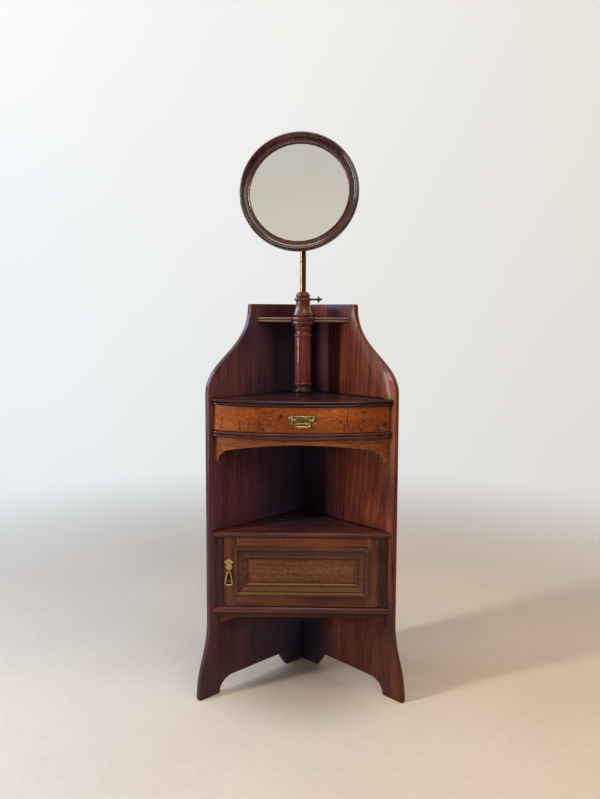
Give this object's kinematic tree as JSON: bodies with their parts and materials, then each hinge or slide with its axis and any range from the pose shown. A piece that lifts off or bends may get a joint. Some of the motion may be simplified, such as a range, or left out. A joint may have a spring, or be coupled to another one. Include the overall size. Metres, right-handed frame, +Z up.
{
  "type": "corner shaving stand",
  "caption": "Corner stand with a bow-fronted drawer, open shelf, small cupboard and a turned column whose sliding brass rod holds a round tilting mirror.",
  "frame": {"origin": "on the floor, at the middle of the whole object's box in width and in depth, with the drawer, door, handles and mirror as shown", "axes": "+Z up from the floor, +X to the right as seen from the front, +Y towards the back corner where the two side boards meet"},
  "size_m": [0.5366, 0.3066, 1.4404],
  "materials": {
    "side_mahogany": "polished dark mahogany",
    "shelf_mahogany": "polished dark mahogany",
    "apron_wood": "polished mahogany",
    "inner_pine": "bare pine",
    "turned_mahogany": "turned and polished mahogany",
    "drawer_veneer": "polished veneer",
    "door_mahogany": "polished mahogany",
    "door_moulding": "polished moulding",
    "door_panel": "polished panel",
    "brass": "aged brass",
    "rod_brass": "aged drawn brass",
    "dark_metal": "darkened steel",
    "frame_mahogany": "turned and polished mahogany",
    "glass": "silvered glass",
    "backing": "thin pine board"
  },
  "bodies": {
    "carcass": {"left_side": "side_mahogany", "right_side": "side_mahogany", "drawer_top": "shelf_mahogany", "drawer_bed": "shelf_mahogany", "upper_apron": "apron_wood", "drawer_guide": "inner_pine", "drawer_stops": "inner_pine", "cupboard_top": "shelf_mahogany", "cupboard_floor": "shelf_mahogany", "lower_apron": "apron_wood", "apron_blocks": "inner_pine", "left_post": "side_mahogany", "right_post": "side_mahogany", "door_stop": "inner_pine", "collar_shelf": "shelf_mahogany", "collar_boss": "turned_mahogany", "column_lower": "turned_mahogany", "column_upper": "turned_mahogany", "rod_bush": "brass", "fixed_hinge_leaves": "brass", "hinge_pins": "dark_metal", "fixed_hinge_screws": "brass", "lock_keep": "brass"},
    "drawer": {"drawer_front": "drawer_veneer", "drawer_side_left": "inner_pine", "drawer_side_right": "inner_pine", "drawer_back": "inner_pine", "drawer_bottom": "inner_pine", "drawer_runners": "inner_pine", "drawer_plate": "brass", "drawer_posts": "brass"},
    "bail": {"drawer_bail": "brass"},
    "door": {"door_stile_left": "door_mahogany", "door_stile_right": "door_mahogany", "door_rail_top": "door_mahogany", "door_rail_bottom": "door_mahogany", "door_moulding": "door_moulding", "door_panel": "door_panel", "moving_hinge_leaves": "brass", "moving_hinge_screws": "brass", "door_plate": "brass", "door_plate_screws": "brass", "lock_case": "dark_metal"},
    "drop": {"door_drop": "brass"},
    "bolt": {"lock_bolt": "brass"},
    "rod": {"rod": "rod_brass"},
    "head": {"rod_head": "rod_brass", "pivot_screw": "dark_metal"},
    "mirror": {"mirror_frame": "frame_mahogany", "mirror_glass": "glass", "mirror_back": "backing", "mirror_flange": "rod_brass", "flange_screws": "rod_brass"},
    "thumbscrew": {"thumbscrew": "dark_metal"}
  },
  "joints": [
    {"name": "drawer_slide", "type": "slide", "parent": "carcass", "child": "drawer", "axis": [0, -1, 0], "range_m": [0, 0.14]},
    {"name": "bail_swing", "type": "hinge", "parent": "drawer", "child": "bail", "pos_m": [0.003, -0.14867, 0.7324], "axis": [-1, 0, 0], "range_deg": [0, 85]},
    {"name": "door_swing", "type": "hinge", "parent": "carcass", "child": "door", "pos_m": [0.1985, -0.09047, 0.3325], "axis": [0, 0, 1], "range_deg": [0, 120]},
    {"name": "drop_swing", "type": "hinge", "parent": "door", "child": "drop", "pos_m": [-0.1855, -0.09287, 0.3315], "axis": [-1, 0, 0], "range_deg": [0, 80]},
    {"name": "bolt_throw", "type": "slide", "parent": "door", "child": "bolt", "axis": [-1, 0, 0], "range_m": [0, 0.006]},
    {"name": "rod_lift", "type": "slide", "parent": "carcass", "child": "rod", "axis": [0, 0, 1], "range_m": [-0.06, 0.1]},
    {"name": "head_turn", "type": "hinge", "parent": "rod", "child": "head", "pos_m": [0, 0.00833, 1.27], "axis": [0, 0, 1], "continuous": true},
    {"name": "mirror_tilt", "type": "hinge", "parent": "head", "child": "mirror", "pos_m": [0, 0.00833, 1.2855], "axis": [-0.9962, 0.0872, 0], "range_deg": [-15, 35]},
    {"name": "thumb_turn", "type": "hinge", "parent": "carcass", "child": "thumbscrew", "pos_m": [0.03, 0.00833, 1.026], "axis": [1, 0, 0], "range_deg": [0, 360]}
  ]
}
